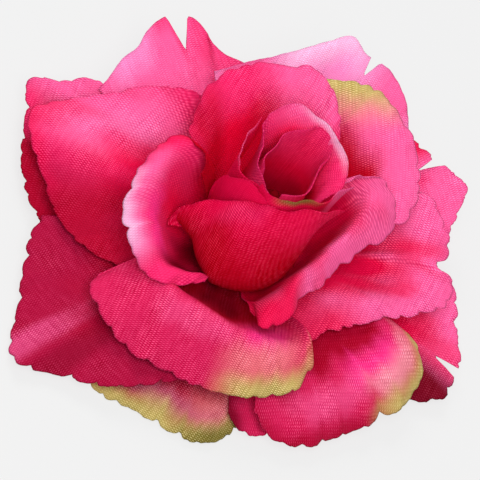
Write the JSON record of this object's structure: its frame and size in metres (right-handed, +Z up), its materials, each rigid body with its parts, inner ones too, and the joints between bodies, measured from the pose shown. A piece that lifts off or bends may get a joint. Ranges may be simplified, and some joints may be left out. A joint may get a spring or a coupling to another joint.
{
  "type": "artificial cloth rose head",
  "caption": "Open rose head of curled cloth petals with scalloped, notched edges around a rolled bud, standing on a flat base cap.",
  "frame": {"origin": "centre of the base cap's flat underside", "axes": "+Z up the flower's axis towards the bud, -Y towards the long pointed front petal"},
  "size_m": [0.1051, 0.0965, 0.0409],
  "materials": {
    "cloth_deep_rose": "woven polyester, satin, deep rose",
    "cloth_rose": "woven polyester, satin, rose",
    "cloth_light_rose": "woven polyester, satin, light rose",
    "cloth_pale_rose": "woven polyester, satin, pale rose",
    "cloth_leaf_tint": "woven polyester, satin, rose sprayed yellow-green at the rim",
    "cap_plastic": "moulded, matte green",
    "peg_plastic": "moulded, matte, milky",
    "core_plastic": "moulded, matte deep rose"
  },
  "bodies": {
    "root": {"base_cap": "cap_plastic", "centre_peg": "peg_plastic", "bud_core": "core_plastic", "petal_bud_heart": "cloth_deep_rose", "petal_bud_wrap": "cloth_light_rose", "petal_bud_side": "cloth_rose", "petal_bud_lip": "cloth_leaf_tint", "petal_bud_collar": "cloth_rose", "petal_inner_front": "cloth_rose", "petal_inner_back": "cloth_rose", "petal_inner_right": "cloth_light_rose", "petal_inner_left": "cloth_light_rose", "petal_middle_back": "cloth_rose", "petal_middle_front": "cloth_rose", "petal_middle_right": "cloth_light_rose", "petal_middle_left": "cloth_rose", "petal_outer_back": "cloth_pale_rose", "petal_outer_back_right": "cloth_light_rose", "petal_outer_right": "cloth_light_rose", "petal_outer_front_right": "cloth_light_rose", "petal_outer_tuck": "cloth_rose", "petal_outer_front": "cloth_leaf_tint", "petal_outer_front_left": "cloth_deep_rose", "petal_outer_left": "cloth_light_rose", "petal_outer_back_left": "cloth_pale_rose"}
  },
  "joints": []
}
